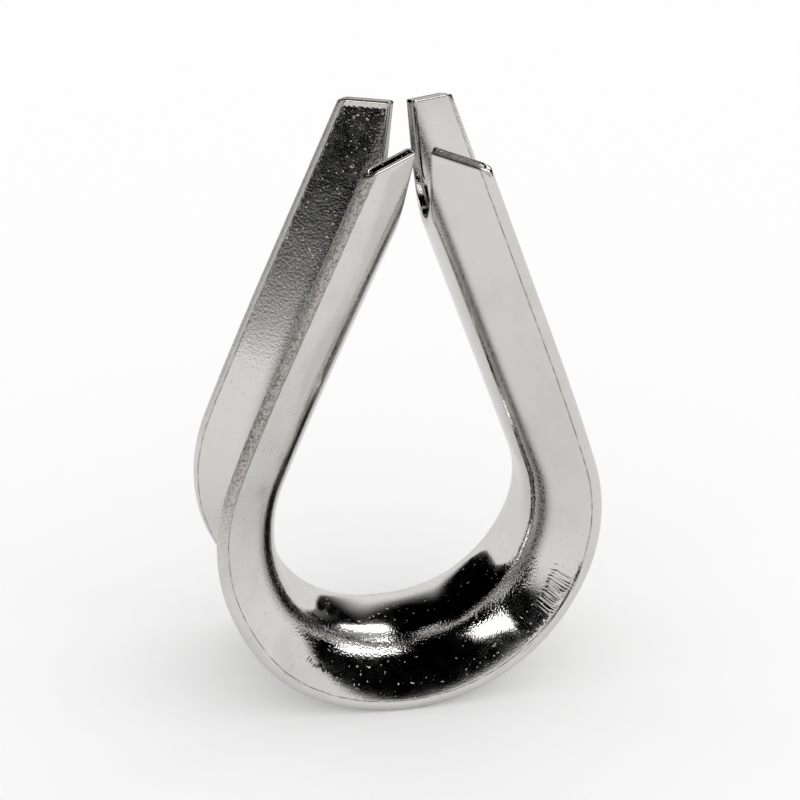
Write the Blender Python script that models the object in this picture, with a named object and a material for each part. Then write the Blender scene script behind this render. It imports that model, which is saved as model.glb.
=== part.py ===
"""Wire rope thimble for 8 mm rope: one pressed sheet channel, bent round into an eye.

Blender 4.5, metres, +Z up. The thimble stands on its crown. +Z runs from the crown to the
open tips, X runs across the eye, and Y is the direction of the pin that the eye hangs on.
The origin is under the crown, at the middle of the base of the part's bounding box.
"""

import math

import bmesh
import bpy
from mathutils import Vector

MM = 0.001

# The eye-side line of the web: a crown arc, then each side a shoulder arc and a straight limb.
# The strip is bent round by hand-set tools, so its two sides differ a little.
CROWN_RADIUS = 9.6 * MM
CROWN_HALF_ANGLE = {"left": math.radians(73), "right": math.radians(34)}
SHOULDER_RADIUS = {"left": 13.3 * MM, "right": 11.1 * MM}
LIMB_LEAN = {"left": math.radians(19.8), "right": math.radians(21.4)}

# The channel's section. The flanges flare more, and the web is wider, at the crown.
SHEET = 1.0 * MM
WEB_HALF_WIDTH_CROWN = 2.15 * MM
WEB_HALF_WIDTH_LIMB = 0.5 * MM
BEND_RADIUS_CROWN = 3.4 * MM
BEND_RADIUS_LIMB = 3.95 * MM
FLARE_CROWN = math.radians(48)
FLARE_LIMB = math.radians(33.5)
FLANGE_LENGTH = 4.4 * MM
RIM_CHAMFER = 0.12 * MM

# The tips: a narrow gap between the limbs, wider towards the eye, under a sloping top. The
# corner between the two cuts is broken over a short stretch of each flange.
GAP_TO = {"left": 0.75 * MM, "right": 0.35 * MM}
GAP_TAPER = math.radians(5.7)
TIP_ABOVE_CROWN_CENTRE = 34.6 * MM
TOP_SLOPE = math.radians(8.5)
TOP_FALL_TO_FRONT = math.radians(4.5)
BROKEN_CORNER = (0.5 * MM, 1.3 * MM)

# Steps round each half of the path, and round each bend of the section.
PATH_STEPS = 20
BEND_STEPS = 6

STEEL_COLOUR = (0.80, 0.79, 0.77, 1.0)
STEEL_ROUGHNESS = 0.16
SHARP_ANGLE = math.radians(30)


def clear_scene():
    for obj in list(bpy.data.objects):
        bpy.data.objects.remove(obj, do_unlink=True)


def steel():
    material = bpy.data.materials.new("polished_stainless")
    material.use_nodes = True
    shader = material.node_tree.nodes["Principled BSDF"]
    shader.inputs["Base Color"].default_value = STEEL_COLOUR
    shader.inputs["Metallic"].default_value = 1.0
    shader.inputs["Roughness"].default_value = STEEL_ROUGHNESS
    return material


def blend(crown_value, limb_value, share):
    return crown_value + (limb_value - crown_value) * share


def section(share):
    """Closed outline of (depth away from the eye, offset along Y). share is 0 at the crown, 1 on a limb."""
    half_web = blend(WEB_HALF_WIDTH_CROWN, WEB_HALF_WIDTH_LIMB, share)
    radius = blend(BEND_RADIUS_CROWN, BEND_RADIUS_LIMB, share)
    flare = blend(FLARE_CROWN, FLARE_LIMB, share)
    turns = [(math.pi / 2 - flare) * step / BEND_STEPS for step in range(BEND_STEPS + 1)]

    def bend(bend_radius):
        return [
            Vector((radius - bend_radius * math.cos(turn), half_web + bend_radius * math.sin(turn)))
            for turn in turns
        ]

    eye_side = bend(radius)
    groove_side = bend(radius - SHEET)
    along = Vector((math.cos(flare), math.sin(flare)))
    across = Vector((math.sin(flare), -math.cos(flare)))
    eye_side += [eye_side[-1] + along * distance for distance in BROKEN_CORNER]
    groove_side += [groove_side[-1] + along * distance for distance in BROKEN_CORNER]
    corner = eye_side[BEND_STEPS] + along * FLANGE_LENGTH
    rim = [
        corner - along * RIM_CHAMFER,
        corner + across * RIM_CHAMFER,
        corner + across * (SHEET - RIM_CHAMFER),
        corner + across * SHEET - along * RIM_CHAMFER,
    ]
    half = eye_side + rim + groove_side[::-1]
    return half + [Vector((point.x, -point.y)) for point in reversed(half)]


def outward(angle):
    """Direction away from the eye, at an angle round from straight down."""
    return Vector((math.sin(angle), -math.cos(angle)))


def half_path(side):
    """(point, angle) along the right-hand half of the eye-side line, from the crown to its limb."""
    crown_end = CROWN_HALF_ANGLE[side]
    limb_angle = math.pi / 2 + LIMB_LEAN[side]
    shoulder = SHOULDER_RADIUS[side]
    shoulder_centre = outward(crown_end) * (CROWN_RADIUS - shoulder)
    stations = []
    for step in range(PATH_STEPS + 1):
        # Half a step off the bottom leaves one level facet there.
        angle = limb_angle * max(step, 0.5) / PATH_STEPS
        if angle < crown_end:
            stations.append((outward(angle) * CROWN_RADIUS, angle))
        else:
            stations.append((shoulder_centre + outward(angle) * shoulder, angle))
    return stations


def limb_end(side, vert):
    """Slides a point up its limb to the gap or to the sloping top, whichever comes first."""
    lean = LIMB_LEAN[side]
    clear = vert.x - GAP_TO[side]
    below = TIP_ABOVE_CROWN_CENTRE - vert.z
    taper = math.tan(GAP_TAPER)
    slope = math.tan(TOP_SLOPE)
    to_gap = (clear - below * taper) / (math.sin(lean) - math.cos(lean) * taper)
    top_rise = below - clear * slope + vert.y * math.tan(TOP_FALL_TO_FRONT)
    to_top = top_rise / (math.cos(lean) - math.sin(lean) * slope)
    return vert + Vector((-math.sin(lean), 0.0, math.cos(lean))) * min(to_gap, to_top)


def half_rings(side):
    """Rings of (x, y, z) points on the right-hand side of the eye, from the crown to one tip."""
    limb_angle = math.pi / 2 + LIMB_LEAN[side]
    rings = []
    for point, angle in half_path(side):
        outline = section((angle / limb_angle) ** 2)
        places = [(point + outward(angle) * depth, offset) for depth, offset in outline]
        rings.append([Vector((place.x, offset, place.y)) for place, offset in places])
    rings.append([limb_end(side, vert) for vert in rings[-1]])
    return rings


def mesh_data(name, mesh):
    bmesh.ops.recalc_face_normals(mesh, faces=mesh.faces)
    data = bpy.data.meshes.new(name)
    mesh.to_mesh(data)
    mesh.free()
    return data


def wall(mesh, ring, following):
    """Faces from one ring to the next."""
    count = len(ring)
    for index in range(count):
        after = (index + 1) % count
        mesh.faces.new((ring[index], ring[after], following[after], following[index]))


def cap(mesh, ring):
    """Closes a ring with faces from its eye side across the sheet to its groove side."""
    half = len(ring) // 2
    for index in range(half // 2 - 1):
        across = half - 1 - index
        mesh.faces.new((ring[index], ring[index + 1], ring[across - 1], ring[across]))
        mesh.faces.new((ring[half + index], ring[half + index + 1], ring[-2 - index], ring[-1 - index]))
    mesh.faces.new((ring[0], ring[half - 1], ring[half], ring[-1]))


def sweep():
    """The whole channel from tip to tip, as a closed mesh round the crown arc's centre."""
    left = [[Vector((-v.x, v.y, v.z)) for v in ring] for ring in half_rings("left")]
    mesh = bmesh.new()
    rings = [[mesh.verts.new(v) for v in ring] for ring in left[::-1] + half_rings("right")]
    for ring, following in zip(rings, rings[1:]):
        wall(mesh, ring, following)
    cap(mesh, rings[0])
    cap(mesh, rings[-1])
    return mesh_data("thimble_channel", mesh)


def add_object(name, data):
    obj = bpy.data.objects.new(name, data)
    bpy.context.scene.collection.objects.link(obj)
    return obj


def stand_on_base(body):
    """Moves the part so that the origin is at the middle of its base."""
    corners = [vert.co for vert in body.data.vertices]
    middle = (min(c.x for c in corners) + max(c.x for c in corners)) / 2
    body.location = (-middle, 0.0, -min(c.z for c in corners))


def build():
    clear_scene()
    body = add_object("thimble_channel", sweep())
    body.data.materials.append(steel())
    stand_on_base(body)
    body.data.shade_smooth()
    body.data.set_sharp_from_angle(angle=SHARP_ANGLE)


build()
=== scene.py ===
"""Looks of the wire rope thimble: a polished stainless channel on a pale studio floor.

Metres, in the CAD's frame: X runs across the eye, Y along its pin, +Z from the crown to the open
tips. The channel is a closed mesh of rings. Each ring goes round the channel's section, and the
rings follow one another from the left tip, round the crown, to the right tip. The press marks,
the painted dark reflection along the bends, the painted shade along the flange's corner and the
rough rim are in the material, placed by attributes of the mesh's points.
"""

import math

import bpy
import numpy as np
from mathutils import Matrix, Vector


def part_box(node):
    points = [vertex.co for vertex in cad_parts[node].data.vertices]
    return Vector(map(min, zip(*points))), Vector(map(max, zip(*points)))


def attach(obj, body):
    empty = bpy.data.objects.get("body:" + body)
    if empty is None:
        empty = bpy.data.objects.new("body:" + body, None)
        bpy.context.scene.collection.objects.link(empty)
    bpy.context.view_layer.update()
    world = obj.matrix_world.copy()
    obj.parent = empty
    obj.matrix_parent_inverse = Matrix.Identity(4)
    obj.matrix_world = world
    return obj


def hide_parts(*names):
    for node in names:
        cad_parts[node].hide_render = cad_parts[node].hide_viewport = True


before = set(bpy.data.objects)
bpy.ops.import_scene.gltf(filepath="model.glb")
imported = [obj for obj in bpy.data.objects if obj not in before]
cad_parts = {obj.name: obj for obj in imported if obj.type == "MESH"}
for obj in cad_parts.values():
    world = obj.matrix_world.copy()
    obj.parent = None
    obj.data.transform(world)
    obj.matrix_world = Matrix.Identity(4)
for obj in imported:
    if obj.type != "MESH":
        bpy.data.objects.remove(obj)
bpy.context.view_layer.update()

MM = 0.001

# The eye-side line of the web, close to the CAD's: a crown arc, then each side a shoulder arc and
# a straight limb.
CROWN_RADIUS = 9.64 * MM
CROWN_HALF_ANGLE = {"left": math.radians(71.5), "right": math.radians(33.3)}
SHOULDER_RADIUS = {"left": 13.1 * MM, "right": 11.1 * MM}
LIMB_LEAN = {"left": math.radians(20.45), "right": math.radians(22.0)}

# The channel's section. Three values are those at the crown, on a shoulder and up a limb. Distances
# are along the sheet from the middle of the web. The eye side turns away from the web on its way
# out to the rim: evenly near the crown, and everywhere in a roll and in a crease.
SHEET = 1.0 * MM
HALF_STRIP = (8.9 * MM, 8.85 * MM, 8.81 * MM)
EVEN_TURN = math.radians(26)
EVEN_UNTIL = 0.4
ROLL_TURN = (math.radians(14.5), math.radians(45.5), math.radians(52.0))
ROLL_FROM = (1.2 * MM, 0.7 * MM, -0.3 * MM)
ROLL_TO = (5.2 * MM, 5.3 * MM, 5.3 * MM)
CREASE_TURN = math.radians(6)
CREASE_AT = (3.3 * MM, 3.2 * MM, 2.9 * MM)
CREASE_WIDTH = 0.4 * MM
RIM_ROUND = 0.44 * MM
RIM_REACH = 0.6 * MM
END_ROUND = 0.22 * MM
LEAST_ROUND = 0.02 * MM
INSET_POWER = 4

# The section's change from crown to limb. Progress is 0 at the crown and 1 where the limb starts,
# and it gains 1 for each length of BLEND_LIMB after that.
BLEND_END = 1.5
BLEND_LIMB = 24 * MM

# Bands along the section where the material is marked: the bend, and a dark line of painted
# reflection (painted shade in the steel's colour) along it, which is narrower up a limb and has a
# second one on the groove side of the limbs. Pairs without units are shares of the way from crown to limb.
BEND_BAND = 1.3 * MM
BEND_AND_PAINTED_BAND_AT = (3.3 * MM, 4.05 * MM, 3.7 * MM)
PAINTED_BAND_WIDTH = (0.6 * MM, 0.36 * MM)
PAINTED_BAND_NARROWS = (0.5, 1.0)
PAINTED_BAND_STARTS = (0.08, 0.33)
PAINTED_BAND_FADES = (0.6, 1.0)
PAINTED_BAND_FADE = 0.1
GROOVE_PAINTED_BAND_AT = 4.3 * MM
GROOVE_PAINTED_BAND_WIDTH = 0.7 * MM
GROOVE_PAINTED_BAND_STARTS = (0.6, 1.0)

# The tips: a narrow gap between the limbs, wider towards the eye, under a sloping top.
GAP_TO = {"left": 0.75 * MM, "right": 0.32 * MM}
GAP_TAPER = math.radians(5.7)
TIP_ABOVE_CROWN_CENTRE = 34.2 * MM
TOP_SLOPE = math.radians(8.5)
TOP_FALL_TO_FRONT = math.radians(4.1)

# Mesh steps. Those across the sheet crowd together round the crease.
ARC_STEPS = 112
LIMB_STEPS = 60
SHEET_STEPS = 60
FINE_STEPS = 1000
RIM_STEPS = 7
END_STEPS = 4
CUT_STEPS = 6
CROWDING = 0.8 * CREASE_WIDTH
CROWDING_REACH = 1.5 * CREASE_WIDTH

# The steel's colours.
BRIGHT = (0.80, 0.79, 0.77, 1.0)
STAINED = (0.76, 0.745, 0.72, 1.0)
# Painted dark reflection: the colour of the dark band along the bends.
PAINTED_DARK_REFLECTION = (0.05, 0.047, 0.045, 1.0)
# Painted shade: the colour of the dark line along the flange's corner.
PAINTED_CORNER_SHADE = (0.12, 0.11, 0.10, 1.0)
ROUGH_DARK = (0.22, 0.205, 0.18, 1.0)
ROUGH_LIGHT = (0.60, 0.575, 0.54, 1.0)
TIP_CUT = (0.42, 0.41, 0.39, 1.0)

# The size of the steel's grains, and how far each kind stands up from the surface.
PEBBLE_GRAIN, PEBBLE_HEIGHT = 0.15 * MM, 0.018 * MM
PEEL_GRAIN, PEEL_HEIGHT = 0.2 * MM, 0.006 * MM
DENT_GRAIN, DENT_HEIGHT = 0.22 * MM, 0.008 * MM
COMB_GRAIN, COMB_HEIGHT = 0.28 * MM, 0.016 * MM
PIT_GRAIN, PIT_HEIGHT = 0.2 * MM, 0.04 * MM
STAIN_GRAIN = 3.0 * MM
POLISH_GRAIN = 1.2 * MM

# Levels of the noises, and of the bend's mask, between which a finish changes.
BEND_LEVELS = (0.0, 0.9)
DENT_LEVELS = (0.77, 0.87)
STAIN_LEVELS = (0.4, 0.7)
PEBBLE_LEVELS = (0.35, 0.6)
PIT_LEVELS = (0.35, 0.6)
POLISH_LEVELS = (0.35, 0.65)
CORNER_BREAK_LEVELS = (0.3, 0.6)

# How much of each finish there is, below the change and then above it.
PEBBLE_BY_BEND = (0.1, 1.0)
PEBBLE_BY_LIMB = (1.0, 0.45)
PAINTED_REFLECTION_BY_PEBBLE = (1.0, 0.75)
CORNER_BREAKS = (0.15, 0.85)
ROUGHNESS = (0.06, 0.1)
RIM_ROUGHNESS = 0.3
TIP_CUT_PITS = 0.25

# Where a finish changes along the rim, from the crown towards the right tip, and where across the
# strip from its front half to its back half.
LIMB_FINISH = (14 * MM, 26 * MM)
FRONT_TO_BACK = (-1 * MM, 1 * MM)
ROUGH_RIM_ENDS = (-34 * MM, -20 * MM)
ROUGH_RIM_REST = 0.06
COMB_PATCHES = (-8 * MM, 17 * MM)
COMB_PATCH_REACH = 6 * MM
COMB_LIMB = (18 * MM, 24 * MM)
COMB_LIMB_LEVEL = 0.2

# The comb marks' band across the flange, how ragged its edges are and how long the marks are.
COMB_INNER_EDGE = (6.9 * MM, 7.3 * MM)
COMB_OUTER_EDGE = (8.6 * MM, 8.9 * MM)
COMB_RAGGED = 1.2 * MM
COMB_STRETCH = (1.0, 0.12, 1.0)

# The broken dark line of painted shade where the flat of the flange meets the rounded rim.
CORNER_LINE_AT = HALF_STRIP[0] - RIM_REACH + 0.06 * MM
CORNER_LINE_WIDTH = 0.09 * MM
CORNER_WANDER = 0.12 * MM
CORNER_WANDER_GRAIN = 2.0 * MM
CORNER_BREAK_GRAIN = 1.1 * MM
ALONG_ONLY = (1.0, 0.0, 0.0)

# The camera.
CAMERA_AZIMUTH = math.radians(-14.2)
CAMERA_ELEVATION = math.radians(30.5)
CAMERA_ROLL = math.radians(-3.4)
CAMERA_DISTANCE = 212 * MM
VIEW_HALF_WIDTH = 32 * MM
AIM_RIGHT = 0.69 * MM
AIM_UP = 9.27 * MM
CLIP_START = 1 * MM

# The studio: a floor that the camera sees, and a table, a tent and cards that only the steel sees.
WHITE = (1.0, 1.0, 1.0, 1.0)
FLOOR_REACH = 1.5
FLOOR_DROP = 0.02 * MM
FLOOR_GREY = 0.9
FLOOR_GLOW = 0.09
TABLE_REACH = 0.4
TABLE_FRONT = 0.12
TABLE_GREY = 0.8
TENT_RADIUS = 0.6
CEILING_HEIGHT = 0.2
CEILING_LAYER = 2
LAYER_GAP = 0.01
ARCH_POWER = 0.85
CARD_STEPS = 24


def smooth(value):
    """Eases from 0 to 1."""
    x = np.clip(value, 0.0, 1.0)
    return x * x * (3.0 - 2.0 * x)


def ramp(value, span):
    """Eases from 0 to 1 as a value goes from the start of a span to its end."""
    start, end = span
    return smooth((value - start) / (end - start))


def ridge(apart, width):
    """1 where two places meet, down to almost 0 two widths apart."""
    return np.exp(-((apart / width) ** 2))


def between(pair, share):
    return pair[0] + (pair[1] - pair[0]) * share


# ---------------------------------------------------------------- the section


def at_share(values, share):
    """The value at a share of the way from the crown, past the shoulder, to the limb."""
    crown, shoulder, limb = values
    rest = 1.0 - share
    return crown * rest * (1 - 2 * share) + shoulder * 4 * share * rest + limb * share * (2 * share - 1)


def eye_side(share):
    """The eye side from the middle of the web to the rim: (depth, offset) points, turns, distances."""
    half_strip = at_share(HALF_STRIP, share)
    crease_at = at_share(CREASE_AT, share)
    fine = np.linspace(0.0, half_strip, FINE_STEPS)
    roll = ramp(fine, (at_share(ROLL_FROM, share), at_share(ROLL_TO, share)))
    crease = ramp(fine, (crease_at - CREASE_WIDTH / 2, crease_at + CREASE_WIDTH / 2))
    turned = roll * at_share(ROLL_TURN, share) + crease * CREASE_TURN
    turned += fine / half_strip * EVEN_TURN * (1.0 - ramp(share, (0.0, EVEN_UNTIL)))
    step = half_strip / (FINE_STEPS - 1)
    depth = np.concatenate([[0.0], np.cumsum(np.sin(turned[:-1]))]) * step
    offset = np.concatenate([[0.0], np.cumsum(np.cos(turned[:-1]))]) * step
    pick = np.linspace(0.0, half_strip - RIM_REACH, SHEET_STEPS + 1)
    spread = np.tanh((pick - crease_at) / CROWDING_REACH)
    pick = pick - CROWDING * (spread - np.interp(pick, pick[[0, -1]], spread[[0, -1]]))
    line = np.stack([np.interp(pick, fine, depth), np.interp(pick, fine, offset)], 1)
    return line, np.interp(pick, fine, turned), pick


def rounded_rim(edge, into, along, inset):
    """Points round the rim from the eye side to the groove side, and how far out each one is."""
    deep = max(RIM_ROUND - inset, LEAST_ROUND)
    reach = max(RIM_REACH - inset, LEAST_ROUND)
    angles = np.linspace(0.0, math.pi / 2, RIM_STEPS + 1)[1:]
    down = inset + deep * (1 - np.cos(angles))
    out = reach * np.sin(angles)
    down = np.concatenate([down, SHEET - down[::-1]])
    out = np.concatenate([out, out[::-1]])
    return edge + np.outer(down, into) + np.outer(out, along), out


def section(share, inset):
    """Front half of the outline: eye side out to the rim, then groove side back.

    Its faces are moved into the sheet by the inset, which rounds off the tips. Each row is (depth,
    offset, across, groove, rim, bend, and the mask of the painted dark reflection): across is the
    distance along the sheet, and the last four are masks for the material.
    """
    line, turned, distance = eye_side(share)
    inward = np.stack([np.cos(turned), -np.sin(turned)], 1)
    along = np.array([math.sin(turned[-1]), math.cos(turned[-1])])
    line -= np.linspace(0, 1, len(line))[:, None] ** INSET_POWER * along * inset

    from_bend = distance - at_share(BEND_AND_PAINTED_BAND_AT, share)
    bend = ridge(from_bend, BEND_BAND)
    # Where the painted dark reflection lies: along the bend, and on the groove side up the limbs.
    painted_dark_band = ridge(from_bend, between(PAINTED_BAND_WIDTH, ramp(share, PAINTED_BAND_NARROWS)))
    painted_dark_band *= ramp(share, PAINTED_BAND_STARTS) * (1.0 - PAINTED_BAND_FADE * ramp(share, PAINTED_BAND_FADES))
    across = distance * HALF_STRIP[0] / at_share(HALF_STRIP, share)
    groove_painted_band = ridge(across - GROOVE_PAINTED_BAND_AT, GROOVE_PAINTED_BAND_WIDTH) * ramp(share, GROOVE_PAINTED_BAND_STARTS)

    zero = np.zeros(len(across))
    near = np.column_stack([line + inward * inset, across, zero, zero, bend, painted_dark_band])
    far = np.column_stack([line + inward * (SHEET - inset), across, zero + 1, zero, bend, groove_painted_band])
    spots, out = rounded_rim(line[-1], inward[-1], along, inset)
    zero = np.zeros(len(out))
    groove = np.repeat([0.0, 1.0], RIM_STEPS)
    rim = np.column_stack([spots, across[-1] + out, groove, zero + 1, zero, zero])
    return np.concatenate([near, rim, far[::-1]])


# ---------------------------------------------------------------- the channel


def outward(angle):
    """Direction away from the eye, at an angle round from straight down."""
    return np.array([math.sin(angle), -math.cos(angle)])


def half_path(side):
    """(point, angle, progress) along the right-hand half of the eye-side line, up to its limb."""
    crown_end = CROWN_HALF_ANGLE[side]
    limb_angle = math.pi / 2 + LIMB_LEAN[side]
    shoulder = SHOULDER_RADIUS[side]
    shoulder_centre = outward(crown_end) * (CROWN_RADIUS - shoulder)
    stations = []
    for step in range(ARC_STEPS + 1):
        angle = limb_angle * step / ARC_STEPS
        if angle < crown_end:
            point = outward(angle) * CROWN_RADIUS
        else:
            point = shoulder_centre + outward(angle) * shoulder
        stations.append((point, angle, angle / limb_angle))
    return stations


def limb_travel(side, x, y, z):
    """How far points on the limb's first ring slide to the gap or to the sloping top."""
    lean = LIMB_LEAN[side]
    clear = x - GAP_TO[side]
    below = TIP_ABOVE_CROWN_CENTRE - z
    taper = math.tan(GAP_TAPER)
    slope = math.tan(TOP_SLOPE)
    to_gap = (clear - below * taper) / (math.sin(lean) - math.cos(lean) * taper)
    top_rise = below - clear * slope + y * math.tan(TOP_FALL_TO_FRONT)
    to_top = top_rise / (math.cos(lean) - math.sin(lean) * slope)
    return np.minimum(to_gap, to_top)


def mirrored(rows, column):
    """A copy of the rows with the sign of one column changed."""
    copy = rows.copy()
    copy[:, column] *= -1.0
    return copy


def ring_at(point, angle, progress, inset=0.0):
    """Rows of (x, y, z, across, groove, rim, bend, and the mask of the painted dark reflection) once round
    the section at a station.

    They go from the middle of the eye side, round the flange at the front, to the middle of the
    groove side, and back round the other flange.
    """
    outline = section(smooth(progress / BLEND_END), inset)
    spots = point + outline[:, :1] * outward(angle)
    front = np.column_stack([spots[:, 0], -outline[:, 1], spots[:, 1], outline[:, 2:]])
    return np.concatenate([front, mirrored(front[::-1], 1)[1:-1]])


def eye_side_partners(count):
    """For each point of a ring, the number of the point across the sheet from it, on the eye side."""
    front = np.arange(count // 2 + 1)
    eye = np.minimum(front, front[::-1])
    back = (count - eye[1:-1][::-1]) % count
    return np.concatenate([eye, back])


def half_rings(side):
    """Rings on the right-hand side of the eye, from the crown to one tip."""
    path = half_path(side)
    rings = [ring_at(*station) for station in path]
    start, angle, _ = path[-1]
    # A point slides as far as its partner on the eye side, so the cuts go square through the sheet.
    partners = eye_side_partners(len(rings[-1]))
    reach = limb_travel(side, *rings[-1][partners, :3].T)
    up_limb = np.array([-math.sin(LIMB_LEAN[side]), 0.0, math.cos(LIMB_LEAN[side])])
    for step in range(1, LIMB_STEPS + END_STEPS + 1):
        round_angle = math.pi / 2 * max(0, step - LIMB_STEPS) / END_STEPS
        inset = END_ROUND * (1 - math.cos(round_angle))
        back_off = END_ROUND * (1 - math.sin(round_angle))
        fraction = min(1.0, step / LIMB_STEPS)
        # Every line up the limb has its own length, so the blend follows the mean of them.
        progress = 1.0 + float(np.mean(reach - back_off)) * fraction / BLEND_LIMB
        ring = ring_at(start, angle, progress, inset)
        travel = (limb_travel(side, *ring[partners, :3].T) - back_off) * fraction
        ring[:, :3] += up_limb * travel[:, None]
        rings.append(ring)
    return rings


def grid_faces(grid):
    """Faces of four corners between the rows and the columns of a grid of point numbers."""
    corners = [grid[:-1, :-1], grid[:-1, 1:], grid[1:, 1:], grid[1:, :-1]]
    return np.stack(corners, -1).reshape(-1, 4).tolist()


def cap(ring, rows, turned_round):
    """Faces closing a ring of point numbers across the sheet, and the rows that they add."""
    pairs = len(ring) // 2
    from_rim = np.roll(ring, pairs // 2)
    eye = from_rim[:pairs]
    groove = from_rim[pairs:][::-1]
    # The pair at each rim is already joined by an edge, so the grid stops one pair short of it.
    grid = np.empty((CUT_STEPS + 1, pairs - 2), int)
    grid[0] = eye[1:-1]
    grid[-1] = groove[1:-1]
    grid[1:-1] = len(rows) + np.arange(grid[1:-1].size).reshape(grid[1:-1].shape)
    share = np.linspace(0.0, 1.0, CUT_STEPS + 1)[1:-1, None, None]
    added = (rows[grid[0]] * (1 - share) + rows[grid[-1]] * share).reshape(-1, rows.shape[1])
    rim_faces = np.array([[eye[0], *grid[:, 0], groove[0]], [groove[-1], *grid[::-1, -1], eye[-1]]])
    faces = grid_faces(grid) + rim_faces.tolist()
    if turned_round:
        faces = [face[::-1] for face in faces]
    return faces, added


def build_channel():
    """The thimble's faces, and rows of (x, y, z, across, groove, rim, bend, the painted dark reflection's
    mask, along, cut).
    """
    left = [mirrored(ring, 0) for ring in half_rings("left")]
    rings = np.array(left[:0:-1] + half_rings("right"))
    count, size, _ = rings.shape
    rim_line = rings[:, SHEET_STEPS + RIM_STEPS, :3]
    steps = np.linalg.norm(np.diff(rim_line, axis=0), axis=1)
    along = np.concatenate([[0.0], np.cumsum(steps)])
    along -= along[len(left) - 1]
    cut = np.zeros(count)
    cut[-END_STEPS:] = np.arange(1, END_STEPS + 1) / END_STEPS
    cut[:END_STEPS] = cut[: -END_STEPS - 1 : -1]
    rows = np.column_stack([rings.reshape(count * size, -1), np.repeat(along, size), np.repeat(cut, size)])
    number = np.arange(count * size).reshape(count, size)
    faces = grid_faces(np.column_stack([number, number[:, 0]]))
    for ring, turned_round in ((number[0], False), (number[-1], True)):
        closing, added = cap(ring, rows, turned_round)
        faces += closing
        rows = np.concatenate([rows, added])
    return rows, faces


def make_object(name, points, faces):
    data = bpy.data.meshes.new(name)
    data.from_pydata(points, [], faces)
    obj = bpy.data.objects.new(name, data)
    bpy.context.scene.collection.objects.link(obj)
    return obj


# ---------------------------------------------------------------- the steel


class Nodes:
    """Short calls for building a material's nodes."""

    def __init__(self, name):
        self.material = bpy.data.materials.new(name)
        self.material.use_nodes = True
        self.tree = self.material.node_tree
        self.shader = self.tree.nodes["Principled BSDF"]

    def link(self, value, socket):
        if isinstance(value, bpy.types.NodeSocket):
            self.tree.links.new(value, socket)
        else:
            socket.default_value = value

    def add(self, kind, output, **inputs):
        node = self.tree.nodes.new(kind)
        for name, value in inputs.items():
            self.link(value, node.inputs[name])
        return node.outputs[output]

    def math(self, operation, first, second=0.0):
        node = self.tree.nodes.new("ShaderNodeMath")
        node.operation = operation
        self.link(first, node.inputs[0])
        self.link(second, node.inputs[1])
        return node.outputs[0]

    def times(self, first, second):
        return self.math("MULTIPLY", first, second)

    def rescale(self, value, low, high, start=0.0, end=1.0):
        """Eases from start to end as a value goes from low to high."""
        node = self.tree.nodes.new("ShaderNodeMapRange")
        node.interpolation_type = "SMOOTHSTEP"
        inputs = {"Value": value, "From Min": low, "From Max": high, "To Min": start, "To Max": end}
        for name, number in inputs.items():
            self.link(number, node.inputs[name])
        return node.outputs["Result"]

    def attribute(self, name, output="Fac"):
        node = self.tree.nodes.new("ShaderNodeAttribute")
        node.attribute_name = name
        return node.outputs[output]

    def component(self, vector, axis):
        return self.add("ShaderNodeSeparateXYZ", axis, Vector=vector)

    def hump(self, value, centre, half_width):
        """1 at a value, down to 0 at half_width either side."""
        apart = self.math("ABSOLUTE", self.math("SUBTRACT", value, centre))
        return self.rescale(apart, 0.0, half_width, 1.0, 0.0)

    def stretched(self, vector, scale):
        node = self.tree.nodes.new("ShaderNodeVectorMath")
        node.operation = "MULTIPLY"
        self.link(vector, node.inputs[0])
        node.inputs[1].default_value = scale
        return node.outputs[0]

    def noise(self, vector, size, detail=2.0, roughness=0.5):
        """Noise whose grains are about size across."""
        return self.add(
            "ShaderNodeTexNoise", "Fac", Vector=vector, Scale=1.0 / size, Detail=detail, Roughness=roughness
        )

    def mix(self, share, first, second):
        node = self.tree.nodes.new("ShaderNodeMix")
        node.data_type = "RGBA"
        self.link(share, node.inputs["Factor"])
        colours = [socket for socket in node.inputs if socket.type == "RGBA"]
        self.link(first, colours[0])
        self.link(second, colours[1])
        return [socket for socket in node.outputs if socket.type == "RGBA"][0]

    def bump(self, height, distance, normal=None):
        """The normal of a surface raised by height times distance, on top of an earlier normal."""
        node = self.tree.nodes.new("ShaderNodeBump")
        self.link(height, node.inputs["Height"])
        node.inputs["Distance"].default_value = distance
        if normal is not None:
            self.link(normal, node.inputs["Normal"])
        return node.outputs["Normal"]


def comb_marks(n, marks):
    """Height of the short lines that the press left across the flanges, just inside the rim."""
    along = marks["along"]
    lines = n.noise(n.stretched(marks["sheet"], COMB_STRETCH), COMB_GRAIN, detail=1.0)
    first, second = (n.hump(along, centre, COMB_PATCH_REACH) for centre in COMB_PATCHES)
    patches = n.math("MAXIMUM", first, second)
    patches = n.math("MAXIMUM", patches, n.rescale(along, *COMB_LIMB, 0.0, COMB_LIMB_LEVEL))
    ragged = n.math("ADD", marks["across"], n.times(lines, COMB_RAGGED))
    band = n.math("SUBTRACT", n.rescale(ragged, *COMB_INNER_EDGE), n.rescale(ragged, *COMB_OUTER_EDGE))
    masked = n.times(n.times(lines, band), patches)
    return n.times(masked, n.math("SUBTRACT", 1.0, marks["groove"]))


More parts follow.
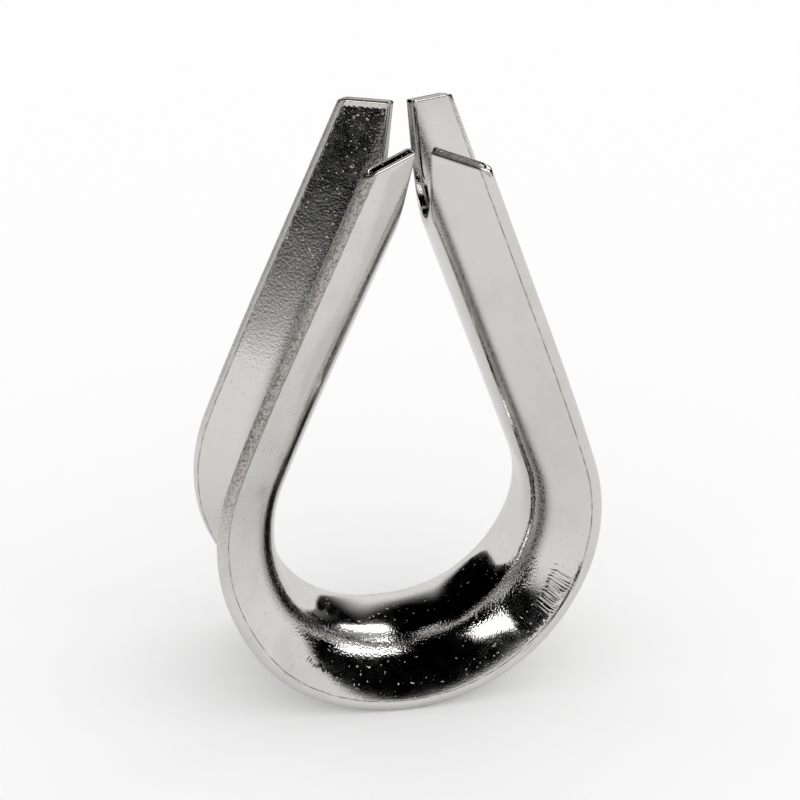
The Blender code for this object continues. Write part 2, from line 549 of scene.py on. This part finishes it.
def steel_normal(n, marks):
    """Pebbles along the bends, peel in the groove, small dents, comb marks, and pits in the cuts."""
    spot = marks["spot"]
    on_limb = n.rescale(n.math("ABSOLUTE", marks["along"]), *LIMB_FINISH)
    by_bend = n.rescale(marks["bend"], *BEND_LEVELS, *PEBBLE_BY_BEND)
    pebbled = n.times(by_bend, n.rescale(on_limb, 0.0, 1.0, *PEBBLE_BY_LIMB))
    peel = n.noise(spot, PEEL_GRAIN, detail=1.0)
    dents = n.rescale(n.noise(spot, DENT_GRAIN, detail=0.0), *DENT_LEVELS)
    pitted = n.math("MAXIMUM", n.times(marks["cut"], TIP_CUT_PITS), marks["rough_rim"])
    normal = n.bump(n.times(marks["pebble"], pebbled), PEBBLE_HEIGHT)
    normal = n.bump(n.times(peel, marks["groove"]), PEEL_HEIGHT, normal)
    normal = n.bump(dents, DENT_HEIGHT, normal)
    normal = n.bump(comb_marks(n, marks), COMB_HEIGHT, normal)
    return n.bump(n.times(marks["pits"], pitted), PIT_HEIGHT, normal)


def painted_corner_shade(n, marks):
    """Mask of the broken dark line of painted shade along the flange's corner, which wanders a little."""
    wander_noise = n.noise(n.stretched(marks["sheet"], ALONG_ONLY), CORNER_WANDER_GRAIN)
    wandering = n.math("ADD", marks["across"], n.times(wander_noise, CORNER_WANDER))
    break_noise = n.noise(n.stretched(marks["sheet"], ALONG_ONLY), CORNER_BREAK_GRAIN)
    line = n.hump(wandering, CORNER_LINE_AT, CORNER_LINE_WIDTH)
    return n.times(line, n.rescale(break_noise, *CORNER_BREAK_LEVELS, *CORNER_BREAKS))


def steel_colour(n, marks):
    """Faintly stained steel, with a painted dark reflection along the bends and painted shade along the
    corner, brown on the rough rim.
    """
    stain = n.noise(marks["spot"], STAIN_GRAIN, detail=3.0)
    # Painted dark reflection along the bends, a little lighter where the pebble noise is high.
    painted_dark = n.times(marks["painted_dark_band"], n.rescale(marks["pebble"], *PEBBLE_LEVELS, *PAINTED_REFLECTION_BY_PEBBLE))
    in_front = n.rescale(n.component(marks["sheet"], "Y"), *FRONT_TO_BACK, 1.0, 0.0)
    speckled = n.mix(n.rescale(marks["pits"], *PIT_LEVELS), ROUGH_DARK, ROUGH_LIGHT)
    colour = n.mix(n.rescale(stain, *STAIN_LEVELS), BRIGHT, STAINED)
    colour = n.mix(painted_dark, colour, PAINTED_DARK_REFLECTION)
    # Painted shade: a broken dark line along the flange's corner.
    colour = n.mix(painted_corner_shade(n, marks), colour, PAINTED_CORNER_SHADE)
    colour = n.mix(n.times(marks["rough_rim"], in_front), colour, speckled)
    return n.mix(marks["cut"], colour, TIP_CUT)


def steel_roughness(n, marks):
    """Near a mirror, a little uneven, and much duller on the rough rim."""
    clouds = n.noise(marks["spot"], POLISH_GRAIN, detail=4.0)
    polish = n.rescale(clouds, *POLISH_LEVELS, *ROUGHNESS)
    return n.math("ADD", polish, n.times(marks["rough_rim"], RIM_ROUGHNESS))


def rough_rim(n, marks):
    """Mask of the rim that was sheared and never polished: most of it is up the left limb."""
    fading = n.times(marks["rim"], n.rescale(marks["along"], *ROUGH_RIM_ENDS, 1.0, ROUGH_RIM_REST))
    return n.times(fading, n.math("SUBTRACT", 1.0, marks["cut"]))


def steel():
    """Pressed and polished stainless: pebbled where the press rolled it, rough where it was cut."""
    n = Nodes("polished_stainless")
    marks = {name: n.attribute(name) for name in ("across", "groove", "rim", "bend", "painted_dark_band", "cut")}
    marks["spot"] = n.add("ShaderNodeTexCoord", "Object")
    marks["sheet"] = n.attribute("sheet", "Vector")
    marks["along"] = n.component(marks["sheet"], "X")
    marks["pebble"] = n.noise(marks["spot"], PEBBLE_GRAIN, detail=0.5)
    marks["pits"] = n.noise(marks["spot"], PIT_GRAIN, detail=3.0, roughness=0.7)
    marks["rough_rim"] = rough_rim(n, marks)
    n.link(steel_normal(n, marks), n.shader.inputs["Normal"])
    n.link(steel_colour(n, marks), n.shader.inputs["Base Color"])
    n.link(steel_roughness(n, marks), n.shader.inputs["Roughness"])
    n.shader.inputs["Metallic"].default_value = 1.0
    return n.material


def thimble():
    """Makes the visible piece over its CAD solid, and returns where its crown arc's centre is."""
    rows, faces = build_channel()
    points = rows[:, :3]
    across, groove, rim, bend, painted_dark_band, along, cut = rows[:, 3:].T
    low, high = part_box("thimble_channel")
    middle = (points[:, 0].min() + points[:, 0].max()) / 2
    shift = np.array([(low.x + high.x) / 2 - middle, 0.0, low.z - points[:, 2].min()])
    obj = make_object("thimble_polished", (points + shift).tolist(), faces)
    obj.data.shade_smooth()
    # A place on the flat strip, with the front half of it on the minus side.
    signed = across * np.where(points[:, 1] > 0, 1.0, -1.0)
    sheet = np.stack([along, signed, groove * SHEET], 1)
    obj.data.attributes.new("sheet", "FLOAT_VECTOR", "POINT").data.foreach_set("vector", sheet.ravel())
    # One of these masks places the painted dark reflection along the bends.
    masks = {"across": across, "groove": groove, "rim": rim, "bend": bend, "cut": cut, "painted_dark_band": painted_dark_band}
    for name, values in masks.items():
        obj.data.attributes.new(name, "FLOAT", "POINT").data.foreach_set("value", values)
    obj.data.materials.append(steel())
    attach(obj, "root")
    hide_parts("thimble_channel")
    return Vector(shift)


# ---------------------------------------------------------------- the camera


def direction(azimuth, elevation):
    """Unit vector at an azimuth, from the front towards the right, and an elevation, in radians."""
    level = math.cos(elevation)
    return Vector((math.sin(azimuth) * level, -math.cos(azimuth) * level, math.sin(elevation)))


def camera(crown_centre):
    data = bpy.data.cameras.new("camera")
    obj = bpy.data.objects.new("camera", data)
    bpy.context.scene.collection.objects.link(obj)
    right = Vector((math.cos(CAMERA_AZIMUTH), math.sin(CAMERA_AZIMUTH), 0.0))
    forward = -direction(CAMERA_AZIMUTH, CAMERA_ELEVATION)
    up = right.cross(forward)
    tilted_right = math.cos(CAMERA_ROLL) * right - math.sin(CAMERA_ROLL) * up
    tilted_up = math.sin(CAMERA_ROLL) * right + math.cos(CAMERA_ROLL) * up
    aim = crown_centre + AIM_RIGHT * tilted_right + AIM_UP * tilted_up
    axes = Matrix((tilted_right, tilted_up, -forward)).transposed()
    obj.matrix_world = Matrix.Translation(aim - forward * CAMERA_DISTANCE) @ axes.to_4x4()
    data.angle = 2 * math.atan(VIEW_HALF_WIDTH / CAMERA_DISTANCE)
    data.clip_start = CLIP_START
    bpy.context.scene.camera = obj


# ---------------------------------------------------------------- the studio


def toward(azimuth, elevation):
    """Direction at an azimuth from the camera's side, positive to its right, and an elevation, in degrees."""
    return direction(CAMERA_AZIMUTH + math.radians(azimuth), math.radians(elevation))


def wall(azimuths, elevations, layer=1):
    """Spots on the tent between two azimuths and two elevations. A higher layer is nearer."""

    def spot(across, up):
        return toward(between(azimuths, across), between(elevations, up)) * (TENT_RADIUS - LAYER_GAP * layer)

    return spot


def arch(feet, height, foot_elevation, layer=1):
    """Spots on the tent under an arch standing on two azimuths, down to an elevation."""

    def spot(across, up):
        top = height * (1.0 - (2.0 * across - 1.0) ** 2) ** ARCH_POWER
        elevation = between((min(foot_elevation, top), top), up)
        return toward(between(feet, across), elevation) * (TENT_RADIUS - LAYER_GAP * layer)

    return spot


def ceiling(sides, depths, slant=0.0, layer=CEILING_LAYER):
    """Spots on a level panel overhead, in heights to the right and to the front of the object."""
    height = CEILING_HEIGHT + LAYER_GAP * (CEILING_LAYER - layer)

    def spot(across, up):
        right = between(sides, across)
        front = between(depths, up) - slant * right
        return (toward(90, 0) * right + toward(0, 0) * front + Vector((0, 0, 1))) * height

    return spot


def seen_in_reflections_only(obj):
    obj.visible_camera = False
    obj.visible_diffuse = False
    obj.visible_shadow = False
    obj.visible_transmission = False


def matt(name, grey):
    """Nodes of a grey material without gloss, which can glow white."""
    n = Nodes(name)
    n.shader.inputs["Base Color"].default_value = (grey, grey, grey, 1.0)
    n.shader.inputs["Roughness"].default_value = 1.0
    n.shader.inputs["Specular IOR Level"].default_value = 0.0
    n.shader.inputs["Emission Color"].default_value = WHITE
    return n


def card(name, spot, level, soft=(0.0, 0.0, 0.0, 0.0)):
    """A glowing card, softened over shares of its size at its left, right, lower and upper edges."""
    shares = [step / CARD_STEPS for step in range(CARD_STEPS + 1)]
    points = []
    levels = []
    for up in shares:
        for across in shares:
            points.append(spot(across, up))
            fade = 1.0
            for inside, width in zip((across, 1.0 - across, up, 1.0 - up), soft):
                if width:
                    fade *= float(smooth(inside / width))
            levels.append(level * fade)
    number = np.arange(len(points)).reshape(len(shares), len(shares))
    obj = make_object(name, points, grid_faces(number))
    obj.data.attributes.new("level", "FLOAT", "POINT").data.foreach_set("value", levels)
    n = matt(name, 0.0)
    n.link(n.attribute("level"), n.shader.inputs["Emission Strength"])
    obj.data.materials.append(n.material)
    seen_in_reflections_only(obj)


def plane(name, reach, front, height, grey, glow=0.0):
    """A level plane as wide as twice its reach, from its front edge to its reach behind the object."""
    side = toward(90, 0) * reach
    up = Vector((0, 0, height))
    ahead = toward(0, 0) * front + up
    behind = toward(0, 0) * -reach + up
    obj = make_object(name, [ahead - side, ahead + side, behind + side, behind - side], [(0, 1, 2, 3)])
    n = matt(name, grey)
    n.shader.inputs["Emission Strength"].default_value = glow
    obj.data.materials.append(n.material)
    return obj


def studio():
    floor = plane("floor", FLOOR_REACH, FLOOR_REACH, -FLOOR_DROP, FLOOR_GREY, FLOOR_GLOW)
    floor.visible_glossy = False
    table = plane("table", TABLE_REACH, TABLE_FRONT, 0.0, TABLE_GREY)
    seen_in_reflections_only(table)
    world = bpy.data.worlds.new("world")
    bpy.context.scene.world = world
    world.use_nodes = True
    world.node_tree.nodes["Background"].inputs["Color"].default_value = WHITE
    # A dark tent round everything, then the pale walls behind, beside and in front.
    card("tent", wall((-180, 180), (-90, 90), layer=0), 0.0)
    card("backdrop", wall((160, 218), (-30, 33)), 0.8, (0.3, 0.15, 0, 0.25))
    card("back_right_low", wall((106, 170), (-20, 20), layer=0.5), 0.3, (0.1, 0, 0, 0.85))
    card("back_left_low", wall((210, 262), (-20, 6), layer=0.5), 0.4, (0, 0.1, 0, 0.7))
    card("right_wall", wall((74, 108), (-30, 12)), 0.75, (0, 0.2, 0, 0.2))
    card("left_wall", wall((-50, -37), (-30, 6)), 0.8, (0.5, 0.1, 0, 0.1))
    card("front_left_low", wall((-38, -25), (-30, -0.5)), 0.8, (0, 0, 0, 0.38))
    card("front_low", wall((-27, 90), (-30, 6), layer=0.5), 0.75, (0.05, 0, 0, 0))
    card("front_arch", arch((-43, 97), 53, 3), 0.75, (0, 0, 0, 0.15))
    card("left_card", wall((-74, -57), (-12, 29)), 1.1, (0.3, 0.2, 0.2, 0.2))
    # The lamps and the grey overhead.
    card("ceiling_front", ceiling((0.12, 1.3), (-0.58, 0.16)), 3.0, (0.1, 0.3, 0.1, 0.15))
    card("ceiling_back", ceiling((0.02, 1.3), (-1.05, -0.64), 0.85), 3.0, (0.1, 0.3, 0.25, 0.2))
    card("ceiling_grey", ceiling((0.05, 1.5), (-0.9, -0.1), 0.85, layer=1), 0.3, (0.1, 0.2, 0, 0.2))
    card("left_window", ceiling((-1.9, -0.5), (0.0, 0.45), 1.1), 3.0, (0.2, 0.2, 0.3, 0.3))
    card("small_light", ceiling((-0.6, -0.1), (-0.45, -0.2)), 0.6, (0.3, 0.3, 0.3, 0.3))


moved = thimble()
camera(moved)
studio()
bpy.context.scene.view_settings.view_transform = "Standard"
